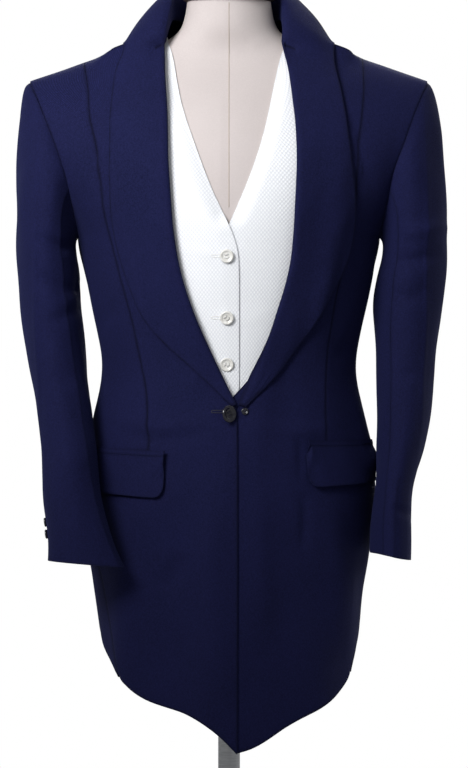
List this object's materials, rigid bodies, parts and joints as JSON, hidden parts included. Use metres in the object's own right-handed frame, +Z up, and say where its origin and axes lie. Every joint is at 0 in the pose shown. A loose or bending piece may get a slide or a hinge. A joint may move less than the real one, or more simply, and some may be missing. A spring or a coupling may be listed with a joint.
{
  "type": "day suit on a dress form",
  "caption": "Long navy coat with a shawl collar and flap pockets, buttoned over a white waistcoat, on a limbless dress form with a round stand",
  "frame": {"origin": "the middle of the stand's underside, on the floor", "axes": "+Z up; the coat faces -Y; +X is the wearer's left"},
  "size_m": [0.4951, 0.362, 1.3984],
  "materials": {
    "navy_wool": "fine twill wool with a soft sheen",
    "white_pique": "white cotton pique with small dots",
    "pearl": "polished pearl",
    "dark_horn": "polished dark horn",
    "beige_jersey": "fine knitted cover",
    "dark_wood": "stained and polished",
    "brushed_steel": "satin"
  },
  "bodies": {
    "root": {"coat_front_right": "navy_wool", "coat_front_left": "navy_wool", "coat_side_right": "navy_wool", "coat_side_left": "navy_wool", "coat_back_right": "navy_wool", "coat_back_left": "navy_wool", "top_sleeve_right": "navy_wool", "top_sleeve_left": "navy_wool", "under_sleeve_right": "navy_wool", "under_sleeve_left": "navy_wool", "shawl_collar_right": "navy_wool", "shawl_collar_left": "navy_wool", "pocket_welt_right": "navy_wool", "pocket_welt_left": "navy_wool", "pocket_flap_right": "navy_wool", "pocket_flap_left": "navy_wool", "waistcoat_front_right": "white_pique", "waistcoat_front_left": "white_pique", "waistcoat_back": "white_pique", "waistcoat_button_1": "pearl", "waistcoat_button_2": "pearl", "waistcoat_button_3": "pearl", "front_button": "dark_horn", "link_button": "dark_horn", "cuff_button_right_1": "dark_horn", "cuff_button_right_2": "dark_horn", "cuff_button_left_1": "dark_horn", "cuff_button_left_2": "dark_horn", "form_torso": "beige_jersey", "form_neck_cap": "dark_wood", "form_pole": "brushed_steel", "form_base": "brushed_steel"}
  },
  "joints": []
}
